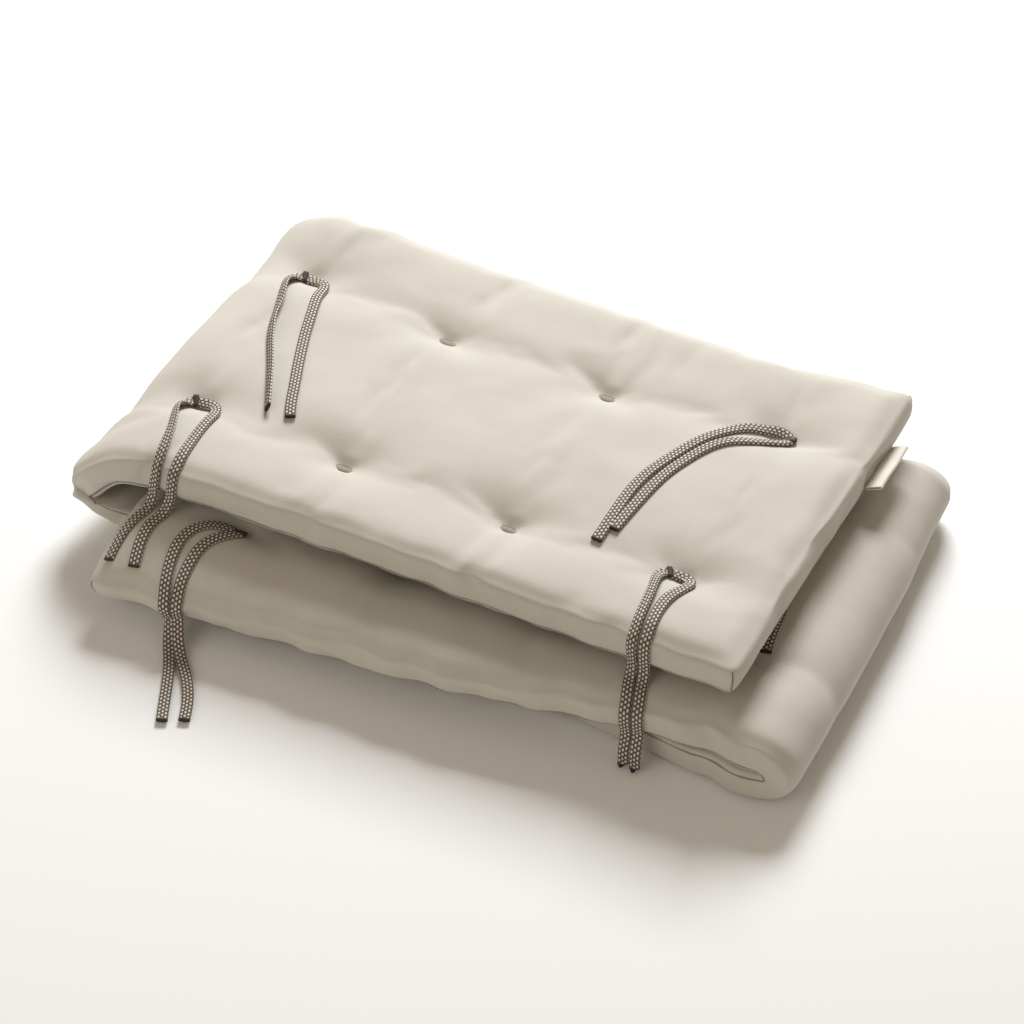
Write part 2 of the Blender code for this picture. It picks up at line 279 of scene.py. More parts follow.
def fill_pad(points, faces, rings):
    """Blow the sewn cover up against its seam and tacks, as the wadding does, and return its points."""
    held = np.zeros(len(points), bool)
    held[rings[SEAM_ROW + 1]] = True
    start = points.copy()
    for s, v in tuft_places():
        near_s = np.abs(points[:, 0] - s) < TACK_LENGTH / 2.0
        near_v = np.abs(points[:, 1] - v) < 0.006
        held |= near_s & near_v
        start[near_s & near_v, 2] *= TACK_SHARE
    mesh = bpy.data.meshes.new("filling")
    mesh.from_pydata([(-s, v, h) for s, v, h in start], [], np.concatenate(faces).tolist())
    cover = show("filling", mesh)
    cover.vertex_groups.new(name="held").add(np.nonzero(held)[0].tolist(), 1.0, "REPLACE")
    cloth = cover.modifiers.new("filling", "CLOTH")
    cloth.settings.quality = 5
    cloth.settings.mass = 0.2
    cloth.settings.tension_stiffness = 12.0
    cloth.settings.compression_stiffness = 8.0
    cloth.settings.shear_stiffness = 4.0
    cloth.settings.bending_stiffness = BENDING
    cloth.settings.shrink_min = -EASE
    cloth.settings.use_pressure = True
    cloth.settings.uniform_pressure_force = PRESSURE
    cloth.settings.vertex_group_mass = "held"
    cloth.settings.effector_weights.gravity = 0.0
    cloth.point_cache.frame_start = 1
    cloth.point_cache.frame_end = SIM_FRAMES
    for step in range(1, SIM_FRAMES + 1):
        bpy.context.scene.frame_set(step)
    shaped = cover.evaluated_get(bpy.context.evaluated_depsgraph_get())
    found = np.empty(len(points) * 3)
    shaped.data.vertices.foreach_get("co", found)
    bpy.context.scene.frame_set(1)
    bpy.data.objects.remove(cover)
    move = found.reshape(-1, 3) * (-1.0, 1.0, 1.0) - start
    size = np.linalg.norm(move, axis=1, keepdims=True)
    return start + move * np.minimum(1.0, SWELL_LIMIT / np.maximum(size, 1e-9))


def hump(t):
    """A bump of height 1 at 0, dying away past 1."""
    return np.exp(-np.asarray(t) ** 2)


# creases pressed into the outer face: from s, v to s, v and how deep and how wide, in mm
Crease = namedtuple("Crease", "s0 v0 s1 v1 depth width")
CREASES = (
    Crease(66, 78, 76, 150, 1.6, 4.5),
    Crease(162, 108, 150, 155, 1.9, 4.5),
    Crease(194, 74, 210, 152, 1.9, 5.0),
    Crease(322, 104, 294, 155, 2.2, 5.0),
    Crease(412, 128, 398, 155, 2.4, 5.0),
    Crease(435, 80, 470, 104, 1.2, 6.0),
    Crease(320, 73, 362, 90, 2.2, 4.5),
    Crease(194, 71, 238, 88, 2.2, 4.5),
    Crease(66, 78, 96, 92, 1.6, 4.5),
    Crease(66, 78, 22, 84, 1.2, 5.0),
    Crease(320, -86, 360, -68, 2.0, 4.5),
    Crease(194, -87, 240, -70, 2.2, 4.5),
    Crease(66, -86, 96, -66, 1.8, 4.5),
    Crease(66, -86, 24, -62, 1.4, 5.0),
    Crease(435, -82, 466, -60, 1.6, 5.0),
    Crease(428, -70, 446, -96, 1.3, 4.0),
    Crease(344, -126, 334, -155, 1.6, 4.0),
    Crease(212, -140, 206, -155, 1.8, 4.0),
    Crease(118, -134, 124, -155, 1.6, 4.0),
    Crease(270, -136, 262, -155, 1.2, 4.5),
    Crease(66, -86, 58, -140, 1.0, 6.0),
    Crease(2, -36, 30, -30, 1.5, 5.0),
    Crease(0, 60, 22, 70, 1.3, 5.0),
    Crease(452, -104, 520, -128, 1.8, 6.0),
    Crease(448, -92, 506, -84, 1.2, 7.0),
    Crease(446, 96, 500, 120, 1.5, 8.0),
    Crease(1334, -78, 1338, -152, 1.9, 5.0),
    Crease(1214, -78, 1256, -106, 1.4, 6.0),
    Crease(1268, -112, 1264, -150, 1.8, 4.5),
    Crease(1096, -136, 1088, -155, 2.0, 5.0),
    Crease(1448, -86, 1452, -150, 1.4, 6.0),
)
CREASE_DEPTH = 1.35       # how much deeper than listed a crease ends up
CREST = 0.0152            # half the padding's thickness between the tacks
ROW_DIP = 0.0030
TUFT_DIP = 0.0100
TIED_DIP = 0.62           # the share of a dimple's depth that a tied tack has
LUMPS = 14                # slow waves in the wadding, of this height
LUMP_HEIGHT = 0.00022
TOP_SWELL = 0.12          # how much thicker the top layer is, with nothing on it


def row_places(s, side):
    """Where a row of tacks runs across the strip, at each place along it."""
    along = [tuft.along / 1000.0 for tuft in TUFTS]
    return np.interp(s, along, [(tuft.back if side > 0 else tuft.front) / 1000.0 for tuft in TUFTS])


def on_top(s, v):
    """1 on the top layer, going to 0 round the first fold."""
    return 1.0 - smooth((past_fold(s, v, FOLDS[0]) - math.pi * FOLDS[0].radius * 0.7) / 0.03)


def face_relief(s, v, outer):
    """The height of a filled face: pillows between the rows, dimples at the tacks, and creases."""
    height = np.full(s.shape, CREST)
    rim = FACE_HEIGHT * (1.0 + TOP_SWELL * on_top(s, v))
    lumps = np.random.default_rng(4 if outer else 5)
    for _ in range(LUMPS):
        turn, wave, phase = lumps.uniform(0, math.pi), lumps.uniform(0.05, 0.15), lumps.uniform(0, 6.28)
        swing = np.sin((s * math.cos(turn) + v * math.sin(turn)) * 2.0 * math.pi / wave + phase)
        height = height + LUMP_HEIGHT * swing
    for side in (-1, 1):
        off = v - row_places(s, side)
        height = height - ROW_DIP * np.exp(-(off / 0.019) ** 2)
    for tuft_s, tuft_v in tuft_places():
        along = np.maximum(np.abs(s - tuft_s) - 0.0075, 0.0)
        away = np.hypot(along / 1.2, np.maximum(np.abs(v - tuft_v) - 0.0028, 0.0))
        dip = TUFT_DIP * (TIED_DIP if outer and (round(tuft_s * 1000), round(tuft_v * 1000)) in TIED else 1.0)
        height = height - dip * np.exp(-np.hypot(away, 0.0015) / 0.0105)
    if outer:
        for crease in CREASES:
            start = np.array([crease.s0, crease.v0]) / 1000.0
            run = np.array([crease.s1, crease.v1]) / 1000.0 - start
            share = np.clip(((s - start[0]) * run[0] + (v - start[1]) * run[1]) / run.dot(run), -0.1, 1.1)
            off = np.hypot(s - start[0] - share * run[0], v - start[1] - share * run[1])
            fade = smooth((share + 0.1) / 0.3) * smooth((1.1 - share) / 0.5)
            profile = fade * np.exp(-off / (crease.width / 1000.0))
            height = height - CREASE_DEPTH * crease.depth / 1000.0 * profile
    to_edge = STRIP_WIDTH / 2.0 - FACE_INSET - np.abs(v)
    to_end = np.minimum(s, STRIP_LENGTH - s) - FACE_INSET
    edge = 1.0 - (1.0 - np.clip(to_edge / 0.016, 0.0, 1.0)) ** 3
    edge = edge * (1.0 - (1.0 - np.clip(to_end / 0.014, 0.0, 1.0)) ** 3)
    return np.where(height > rim, rim + (height - rim) * edge, height)


def ease_to(height, limit):
    """Flatten what stands above a limit, softly, as where one layer lies on another."""
    knee = 0.85 * limit
    over = np.maximum(height - knee, 0.0)
    return np.minimum(height, knee) + (limit - knee) * (1.0 - np.exp(-over / (limit - knee)))


def spread(grid, passes):
    """Soften a grid of values."""
    for _ in range(passes):
        grid = np.pad(grid, 1, mode="edge")
        beside = grid[:-2, 1:-1] + grid[2:, 1:-1] + grid[1:-1, :-2] + grid[1:-1, 2:]
        grid = (beside + 4.0 * grid[1:-1, 1:-1]) / 8.0
    return grid


def settle_heights(points, filled, shape):
    """Both faces' heights: the relief, the simulated wrinkles, and flat where one layer lies on another."""
    second = FOLDS[1]
    count = shape[0] * shape[1]
    settled = filled.copy()
    for part, sign in ((slice(0, count), 1.0), (slice(len(points) - count, None), -1.0)):
        s, v = points[part, 0], points[part, 1]
        swell = (filled[part, 2] * sign).reshape(shape)
        wrinkles = np.clip((swell - spread(swell, 8)).ravel() * WRINKLES, -WRINKLE_LIMIT, WRINKLE_LIMIT)
        inside = smooth((STRIP_WIDTH / 2.0 - FACE_INSET - np.abs(v)) / 0.012)
        height = face_relief(s, v, sign > 0) + wrinkles * inside
        low = smooth((past_fold(s, v, second) - math.pi * second.radius * 0.3) / 0.03)
        open_front = low * smooth((-v - 0.080) / 0.03)
        limit = 0.0122 + 0.0060 * on_top(s, v) + 0.0008 * low + 0.0030 * open_front
        if sign < 0:
            limit = np.full(s.shape, 0.0120)
        settled[part, 2] = sign * ease_to(height, limit)
    wall = slice(count, len(points) - count)
    s, v, h = points[wall].T
    settled[wall, 2] = h * (1.0 + TOP_SWELL * on_top(s, v))
    s, v = points[:, 0], points[:, 1]
    pinch = smooth((-v - 0.085) / 0.05) * hump((past_fold(s, v, second) - 0.015) / 0.075)
    settled[:, 2] = np.where(settled[:, 2] < 0.0, settled[:, 2] * (1.0 + 0.27 * pinch), settled[:, 2])
    settled[:, 2] = np.maximum(settled[:, 2], np.where(pinch > 0.3, -0.0128, -1.0))
    return settled


def strip_uvs(points, rings):
    """Lay the cloth out flat, in metres: the sides carry on from the face that they hang from."""
    count = len(rings[0])
    flat = points[:, :2].copy()
    centre = np.array([STRIP_LENGTH / 2.0, 0.0])
    corner = np.array([STRIP_LENGTH, STRIP_WIDTH]) / 2.0 - FACE_INSET
    base = points[rings[0], :2]
    out = np.where(np.abs(np.abs(base - centre) - corner) < 1e-6, np.sign(base - centre), 0.0)
    depth = np.zeros(count)
    for upper, lower in zip(rings, rings[1:-1]):
        depth = depth + np.linalg.norm(points[lower] - points[upper], axis=1)
        flat[lower] = base + out * depth[:, None]
    return flat


points, face_blocks, rings = flat_pad()
grid_shape = tuple(len(lines) for lines in grid_lines())
flat_uv = strip_uvs(points, rings)
seam_uv = float(flat_uv[rings[SEAM_ROW + 1]][:, 1].max())
filled = fill_pad(points, face_blocks, rings)
filled = settle_heights(points, filled, grid_shape)


PLEAT_HEIGHT = 0.0036


def slump(place, s, v):
    """What the cloth does by itself: the first fold's front corner is crushed down in pleats, the second
    one's front corner is pushed out, and the long edges wander and pucker a little."""
    first, second = FOLDS
    place = place.copy()
    x, y, z = place.T
    turn = past_fold(s, v, first) / first.radius
    front = smooth((-v - 0.045) / 0.10)
    under = smooth((turn - 1.0) / 1.6) * (1.0 - smooth((turn - 3.4) / 2.0))
    tip = hump((turn - 1.0) / 0.85)
    z += front * (0.006 * under - 0.020 * tip)
    x += front * (0.009 * under - 0.010 * tip)
    y += front * 0.004 * under
    crush = smooth((-v - 0.085) / 0.055) * smooth((turn - 0.3) / 0.7) * (1.0 - smooth((turn - 2.6) / 0.8))
    pleat = np.sin(s * 2.0 * math.pi / 0.0165 + 26.0 * v)
    pleat = pleat + 0.6 * np.sin(s * 2.0 * math.pi / 0.027 - 40.0 * v)
    x += crush * PLEAT_HEIGHT * pleat * np.sin(turn)
    z += crush * PLEAT_HEIGHT * pleat * np.cos(turn)
    y += crush * 0.0022 * np.sin(s * 2.0 * math.pi / 0.021 + 1.0)
    back = smooth((v - 0.07) / 0.08)
    z += back * (0.0075 * hump((s - 0.445) / 0.055) - 0.0030 * hump((s - 0.462) / 0.010))
    back_edge = smooth((v - 0.100) / 0.05) * (1.0 - smooth((s - 0.400) / 0.08))
    z += back_edge * 0.0022
    y += back_edge * 0.0030

    past = past_fold(s, v, second)
    bend = hump((past / second.radius - 1.3) / 1.5)
    corner = smooth((-v - 0.06) / 0.09)
    x += bend * (0.0085 - 0.0020 * corner - 0.004 * smooth((v - 0.05) / 0.08))
    y -= 0.009 * corner * hump((past - 0.010) / np.where(past < 0.010, 0.085, 0.045))
    y += 0.007 * smooth((v - 0.10) / 0.05) * bend
    long_front = smooth((-v - 0.04) / 0.10)
    y -= long_front * 0.0085 * hump((s - 1.280) / 0.095)
    x -= long_front * 0.009 * smooth((s - 1.440) / 0.08)
    z += long_front * 0.003 * smooth((s - 1.460) / 0.05)
    z += 0.0032 * hump((v + 0.095) / 0.065) * smooth((s - 1.415) / 0.045)
    x += 0.0028 * hump((v + 0.110) / 0.050) * smooth((s - 1.440) / 0.08)

    near_edge = np.sign(v) * smooth((np.abs(v) - 0.105) / 0.045)
    pucker = np.sin(s * 2.0 * math.pi / 0.051 + 2.0) + 0.8 * np.sin(s * 2.0 * math.pi / 0.0335 + 0.7)
    y += (0.0006 + 0.0006 * smooth((s - 0.40) / 0.08)) * near_edge * pucker
    return np.stack([x, y, z], -1)


placed = slump(on_strip(*filled.T), *points[:, :2].T)
placed[:, 2] = np.maximum(placed[:, 2], 0.0)

pad_mesh = bpy.data.meshes.new("padded_strip")
quads = np.concatenate(face_blocks)
pad_mesh.from_pydata(placed.tolist(), [], quads.tolist())
inner_panel = np.arange(len(quads)) >= len(quads) - len(face_blocks[-1]) - len(rings[0]) * 3
inner_uv = strip_uvs(points, rings[::-1])
corner_uv = np.where(inner_panel[:, None, None], inner_uv[quads] + (0.0, 0.5), flat_uv[quads])
uv_layer = pad_mesh.uv_layers.new(name="cloth")
uv_layer.data.foreach_set("uv", corner_uv.ravel())
pad_mesh.shade_smooth()
pad = show("padded_strip", pad_mesh)
rounding = pad.modifiers.new("rounding", "SUBSURF")
rounding.levels = rounding.render_levels = 1
bpy.context.view_layer.update()
rounded = bpy.data.meshes.new_from_object(pad.evaluated_get(bpy.context.evaluated_depsgraph_get()))
pad.modifiers.clear()
pad.data = rounded
for corner in pad.data.vertices:
    corner.co.z = max(corner.co.z, 0.0)


def new_material(name, colour, roughness):
    """A Principled material, with its node tree to add to."""
    material = bpy.data.materials.new(name)
    material.use_nodes = True
    shader = material.node_tree.nodes["Principled BSDF"]
    shader.inputs["Base Color"].default_value = (*colour, 1.0)
    shader.inputs["Roughness"].default_value = roughness
    return material, material.node_tree, shader


def add_node(tree, kind, values=(), **settings):
    """Add a node, with its settings and with values for its inputs by name or place."""
    node = tree.nodes.new(kind)
    for key, value in settings.items():
        setattr(node, key, value)
    for key, value in dict(values).items():
        node.inputs[key].default_value = value
    return node


def add_bump(tree, shader, height, strength, distance):
    """Raise a material's surface by a height."""
    bump = add_node(tree, "ShaderNodeBump", {"Strength": strength, "Distance": distance})
    tree.links.new(height, bump.inputs["Height"])
    tree.links.new(bump.outputs[0], shader.inputs["Normal"])


def add_maths(tree, operation, *inputs, clamp=False):
    """A Math node whose inputs are sockets or numbers; returns its result."""
    node = add_node(tree, "ShaderNodeMath", operation=operation, use_clamp=clamp)
    for slot, value in zip(node.inputs, inputs):
        if isinstance(value, (int, float)):
            slot.default_value = value
        else:
            tree.links.new(value, slot)
    return node.outputs[0]


def mix_colours(tree, share, first, second):
    """Mix two colours, which are sockets or values, by a share."""
    node = add_node(tree, "ShaderNodeMix", data_type="RGBA")
    for slot, value in ((node.inputs[0], share), (node.inputs[6], first), (node.inputs[7], second)):
        if isinstance(value, bpy.types.NodeSocket):
            tree.links.new(value, slot)
        elif isinstance(value, float):
            slot.default_value = value
        else:
            slot.default_value = (*value, 1.0)
    return node.outputs[2]


COTTON_LIGHT = (0.625, 0.600, 0.535)
COTTON_DARK = (0.540, 0.508, 0.440)
THREAD_PITCH = 0.0011     # two crossing threads of the plain weave
# painted shade for the seam groove and for the corner seams' dark lines
SEAM_PAINTED_SHADE = (0.16, 0.125, 0.090)
SEAM_WIDTH = 0.0012
SEAM_RISE = 0.0024        # how far up the side the seam shows


def cotton_material():
    """Undyed plain-weave cotton: fine crossing threads, slubs and a faint uneven tone."""
    material, tree, shader = new_material("undyed_cotton", COTTON_LIGHT, 0.92)
    links = tree.links
    cloth = add_node(tree, "ShaderNodeUVMap", uv_map="cloth")
    tone = add_node(tree, "ShaderNodeTexNoise", {"Scale": 22.0, "Detail": 3.0, "Roughness": 0.55})
    links.new(cloth.outputs[0], tone.inputs["Vector"])
    fibre = add_node(tree, "ShaderNodeTexNoise", {"Scale": 900.0, "Detail": 2.0})
    links.new(cloth.outputs[0], fibre.inputs["Vector"])
    slubs = []
    for stretch in ((40.0, 700.0, 1.0), (700.0, 40.0, 1.0)):
        turn = add_node(tree, "ShaderNodeMapping", {"Scale": stretch})
        links.new(cloth.outputs[0], turn.inputs["Vector"])
        slub = add_node(tree, "ShaderNodeTexNoise", {"Scale": 1.0, "Detail": 2.0})
        links.new(turn.outputs[0], slub.inputs["Vector"])
        slubs.append(slub.outputs[0])
    slub_sum = add_maths(tree, "ADD", *slubs)
    shade = add_maths(tree, "MULTIPLY", tone.outputs[0], 0.55)
    shade = add_maths(tree, "MULTIPLY_ADD", fibre.outputs[0], 0.25, shade)
    shade = add_maths(tree, "MULTIPLY_ADD", slub_sum, 0.25, shade)
    shade = add_maths(tree, "SUBTRACT", shade, 0.15)
    shade = add_maths(tree, "MULTIPLY", shade, 0.8, clamp=True)
    parts = add_node(tree, "ShaderNodeSeparateXYZ")
    links.new(cloth.outputs[0], parts.inputs[0])
    threads = []
    for axis in (0, 1):
        turns = add_maths(tree, "MULTIPLY", parts.outputs[axis], 2.0 * math.pi / THREAD_PITCH)
        threads.append(add_maths(tree, "SINE", turns))
    weave = add_maths(tree, "MULTIPLY", *threads)
    relief = add_maths(tree, "MULTIPLY_ADD", slub_sum, 0.8, add_maths(tree, "MULTIPLY", weave, 0.15))
    bump = add_node(tree, "ShaderNodeBump", {"Strength": 0.35, "Distance": 0.0003})
    links.new(relief, bump.inputs["Height"])

    # the seam: both panels dip into it, and painted shade darkens the groove
    either_side = add_maths(tree, "ABSOLUTE", parts.outputs[1])
    beyond_side = add_maths(tree, "SUBTRACT", either_side, seam_uv - SEAM_RISE)
    beyond_end = add_maths(tree, "SUBTRACT", STRIP_WIDTH / 2.0 + SEAM_RISE - seam_uv, parts.outputs[0])
    past_end = add_maths(tree, "SUBTRACT", parts.outputs[0],
                         STRIP_LENGTH - STRIP_WIDTH / 2.0 - SEAM_RISE + seam_uv)
    beyond = add_maths(tree, "MAXIMUM", beyond_side, add_maths(tree, "MAXIMUM", beyond_end, past_end))
    groove = add_node(tree, "ShaderNodeMapRange", {"From Min": 0.0, "From Max": SEAM_WIDTH, "To Min": 1.0,
                                                   "To Max": 0.0}, interpolation_type="SMOOTHSTEP")
    links.new(add_maths(tree, "ABSOLUTE", beyond), groove.inputs["Value"])
    seam_bump = add_node(tree, "ShaderNodeBump", {"Strength": 0.8, "Distance": 0.0010}, invert=True)
    links.new(groove.outputs[0], seam_bump.inputs["Height"])
    links.new(bump.outputs[0], seam_bump.inputs["Normal"])
    rumple = add_node(tree, "ShaderNodeTexNoise", {"Scale": 24.0, "Detail": 1.3, "Roughness": 0.45,
                                                   "Distortion": 0.35})
    links.new(cloth.outputs[0], rumple.inputs["Vector"])
    rumple_bump = add_node(tree, "ShaderNodeBump", {"Strength": 0.38, "Distance": 0.0040})
    links.new(rumple.outputs[0], rumple_bump.inputs["Height"])
    links.new(rumple_bump.outputs[0], bump.inputs["Normal"])
    links.new(seam_bump.outputs[0], shader.inputs["Normal"])
    flat_colour = mix_colours(tree, shade, COTTON_LIGHT, COTTON_DARK)
    # painted shade: the colour is darkened along the seam groove
    shadow = add_maths(tree, "MULTIPLY", groove.outputs[0], 0.75)
    darkened = mix_colours(tree, shadow, flat_colour, SEAM_PAINTED_SHADE)
    links.new(darkened, shader.inputs["Base Color"])
    shader.inputs["Sheen Weight"].default_value = 0.12
    shader.inputs["Sheen Roughness"].default_value = 0.5
    shader.inputs["Specular IOR Level"].default_value = 0.25
    return material


pad.data.materials.append(cotton_material())
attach(pad, "root")
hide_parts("pad")

# ---------------------------------------------------------------- the corner seams
# At each of the strip's four corners the outer panel is sewn to itself, in a short seam that runs down the
# side from the face to the long seam. A thin dark tube along each of these seams is painted shade, seen as a
# dark line.
CORNER_SHADE_RADIUS = 0.00045
pad_tree = BVHTree.FromPolygons([v.co.copy() for v in pad.data.vertices],
                                [tuple(p.vertices) for p in pad.data.polygons])


def nearest_on_pad(point):
    """The pad's nearest point, its outward normal, and how far outside the pad the point is."""
    spot, normal, _, _ = pad_tree.find_nearest(Vector(point))
    return np.array(spot), np.array(normal), float((Vector(point) - spot).dot(normal))


corner_verts, corner_faces = [], []
rim_count = len(rings[0])
lines_s, lines_v = grid_lines()
for place in (0, len(lines_s) - 1, len(lines_s) + len(lines_v) - 2, 2 * len(lines_s) + len(lines_v) - 3):
    sharp = placed[[ring[place] for ring in rings[1:8]]]
    seats = [nearest_on_pad(point) for point in sharp]
    run = np.array([spot for spot, _, _ in seats])
    beside = placed[[ring[(place + 1) % rim_count] for ring in rings[1:8]]]
    before = placed[[ring[place - 1] for ring in rings[1:8]]]
    out = 2.0 * sharp - beside - before
    out /= np.linalg.norm(out, axis=1, keepdims=True)
    down = np.gradient(run, axis=0)
    down /= np.linalg.norm(down, axis=1, keepdims=True)
    side = np.cross(out, down)
    first_vert = len(corner_verts)
    for k in range(len(run)):
        for i in range(6):
            a = math.pi * i / 3.0
            corner_verts.append(run[k] + (side[k] * math.cos(a) + out[k] * math.sin(a)) * CORNER_SHADE_RADIUS)
    for k in range(len(run) - 1):
        for i in range(6):
            a, b = first_vert + 6 * k + i, first_vert + 6 * k + (i + 1) % 6
            corner_faces.append((a, b, b + 6, a + 6))
corner_mesh = bpy.data.meshes.new("corner_seam_shade")
corner_mesh.from_pydata([tuple(v) for v in corner_verts], [], corner_faces)
corner_mesh.shade_smooth()
# painted shade along the corner seams, with a faint random tone
corner_shade_material, corner_tree, corner_shader = new_material("painted_seam_shade", SEAM_PAINTED_SHADE, 0.9)
corner_shade_noise = add_node(corner_tree, "ShaderNodeTexNoise", {"Scale": 1300.0})
corner_tone = mix_colours(corner_tree, corner_shade_noise.outputs[0], SEAM_PAINTED_SHADE, (0.22, 0.175, 0.13))
corner_tree.links.new(corner_tone, corner_shader.inputs["Base Color"])
corner_mesh.materials.append(corner_shade_material)
corner_seam_shade = show("corner_seam_shade", corner_mesh)
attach(corner_seam_shade, "root")

# ---------------------------------------------------------------- the tie cords
# Flat woven cord, dark brown with pale dots, tacked to the strip at its middle so that both ends hang
# free.  The cut ends are sealed with heat.  Each free end is one piece.
CORD_WIDTH = 0.0079
CORD_THICK = 0.0027
CORD_COLUMNS = 8          # columns of dots once round the cord
CORD_AROUND = 30
CORD_DOT_PITCH = 0.0034
CORD_STEP = 0.0008
CORD_SEALED = 0.0020      # how much of the cut end is darkened by the heat
CORD_RELIEF = 0.00016     # how far a dot stands proud
# the tack's x, y, z; the route's points, in mm; how far the flat cord is turned on its edge near its tack
# and at its end, in degrees
Tie = namedtuple("Tie", "tack route turned")
TIES = {
    "tie_end_back_upper": Tie((160, 114, 82.5), (
        (160, 118, 83), (151, 119, 83.5), (142, 117, 84), (134, 113, 85), (126, 107, 85.5), (118, 96, 86),
        (112, 85, 86), (105, 70, 86.5), (100, 56, 87), (95, 40, 87.5), (92, 25, 88), (90, 7, 88.5),
        (90, -12, 89), (90, -30, 89.5), (90, -48, 89.5)), (0, 0)),
    "tie_end_back_lower": Tie((160, 114, 82.5), (
        (160, 110, 83), (151, 104, 83.5), (142, 98, 85), (134, 93, 86), (126, 87, 86.5), (119, 78, 86.5),
        (114, 68, 87), (109, 54, 87.5), (105, 41, 87.5), (102, 24, 88), (100, 7, 88.5), (98, -14, 89),
        (96, -34, 89.5)), (0, 0)),
    "tie_end_front_left": Tie((146, -48.5, 86), (
        (147.5, -49, 85.5), (142, -48, 87), (140, -57, 88.5), (143, -72, 89.5), (146, -87, 90),
        (148, -103, 90), (150, -116, 89), (150.5, -124, 84), (151, -126.5, 74), (152, -127.5, 64),
        (153.5, -131, 55.5), (156, -138, 53), (158.5, -145, 50.5), (160, -151.5, 44), (161, -154, 33),
        (162, -154.5, 21), (162.5, -154.5, 11), (163, -154.5, 3)), (35, 0)),
    "tie_end_front_right": Tie((146, -48.5, 86), (
        (153.5, -49, 85.5), (160, -47, 86.5), (163, -54, 87.5), (161, -63, 88.5), (157.5, -75, 89.5),
        (156.5, -88, 90), (157.5, -102, 90), (159, -115, 89), (159.5, -123.5, 84), (160.5, -127, 73),
        (161.5, -129, 63), (163.5, -134, 54.5), (165.5, -140, 53), (167.5, -146, 51), (169, -152.5, 43.5),
        (170, -154.5, 31), (170.5, -155, 20), (171.5, -155, 11), (171.5, -155, 3)), (0, 0)),
    "tie_fold_back_left": Tie((-218, 117.5, 82), (
        (-215, 117, 81.5), (-223, 116, 82), (-227, 110, 83), (-225, 99, 84.5), (-218, 80, 87),
        (-210, 53, 88.5), (-201, 32, 89.5), (-193, 18, 90), (-180, -7, 91), (-167, -34, 91.5)), (50, 60)),
    "tie_fold_back_right": Tie((-218, 117.5, 82), (
        (-209, 117, 81.5), (-203, 118, 82), (-198, 110, 83), (-198, 99, 84.5), (-191, 77, 87),
        (-184, 54, 88.5), (-176, 32, 89.5), (-168, 11, 90.5), (-161, -6, 91), (-156, -20, 91.5),
        (-149, -35, 92)), (0, 0)),
    "tie_fold_front_left": Tie((-218, -43, 86), (
        (-217, -42, 86), (-225, -45, 87.5), (-226, -55, 89.5), (-220, -69, 91), (-214, -84, 91.5),
        (-209, -102, 91.5), (-206, -117, 90.5), (-206, -125.5, 84), (-206, -129, 74), (-207, -132, 63.5),
        (-209, -138, 55), (-210.5, -147, 50), (-211, -160, 45.5), (-211, -174, 39.5)), (55, 0)),
    "tie_fold_front_right": Tie((-218, -43, 86), (
        (-211, -42, 86), (-203, -42, 87.5), (-198, -51, 89), (-197, -67, 91), (-196, -79, 91.5),
        (-194, -95, 91.5), (-192, -112, 91), (-192, -122, 87.5), (-192, -128.5, 79), (-193, -132, 69),
        (-196, -136, 60), (-199, -143, 53), (-198, -157, 48), (-194, -173, 41.5)), (0, 0)),
    "tie_low_left": Tie((-142.5, -117.5, 50.5), (
        (-143, -114.5, 51), (-155, -118, 53), (-165, -124.5, 54), (-172, -136, 53), (-174, -148, 50),
        (-173, -159, 46.5), (-169, -172, 41), (-166, -181, 35.5), (-164, -187, 26), (-162, -188, 15),
        (-159, -191, 6.5), (-155, -198, 3), (-146, -213, 2.5), (-134, -240, 2.5),
        (-126, -258, 2.5)), (0, 0)),
    "tie_low_right": Tie((-142.5, -117.5, 50.5), (
        (-142, -120.5, 51), (-149, -126, 52.5), (-155, -135, 52.5), (-159, -145, 51), (-159.5, -155, 48.5),
        (-159, -170, 42), (-157, -181, 34.5), (-155, -188, 25), (-153, -189.5, 14.5), (-150, -193, 6.5),
        (-145, -200, 3), (-133, -213, 2.5), (-121, -231, 2.5), (-113, -251, 2.5)), (0, 0)),
    "tie_under_loop": Tie((209.5, -52.5, 50), (
        (210, -49, 50.5), (200, -45, 53), (190, -35, 54), (187, -20, 54), (193, -7, 54), (204, -3, 54),
        (213, -11, 54), (216, -25, 54), (217, -39, 54), (219, -51, 53.5), (220, -60, 53)), (0, 0)),
    "tie_under_straight": Tie((209.5, -52.5, 50), (
        (209, -56, 50.5), (200, -59, 53), (184, -63, 54), (162, -67, 54), (137, -71, 54),
        (112, -73, 54)), (0, 0)),
}


def resample(fine, step):
    """Points a step apart along a line of points."""
    lengths = np.concatenate([[0.0], np.cumsum(np.linalg.norm(np.diff(fine, axis=0), axis=1))])
    marks = np.linspace(0.0, lengths[-1], max(2, round(lengths[-1] / step)) + 1)
    return np.stack([np.interp(marks, lengths, fine[:, axis]) for axis in range(3)], -1)


def smooth_route(route, step):
    """Points a step apart along a smooth curve through the route's own points."""
    stops = np.array(route, float) / 1000.0
    stops = np.concatenate([[2.0 * stops[0] - stops[1]], stops, [2.0 * stops[-1] - stops[-2]]])
    fine = [between(*stops[k:k + 4], i / 12.0) for k in range(len(stops) - 3) for i in range(12)]
    return resample(np.array(fine + [stops[-2]]), step)


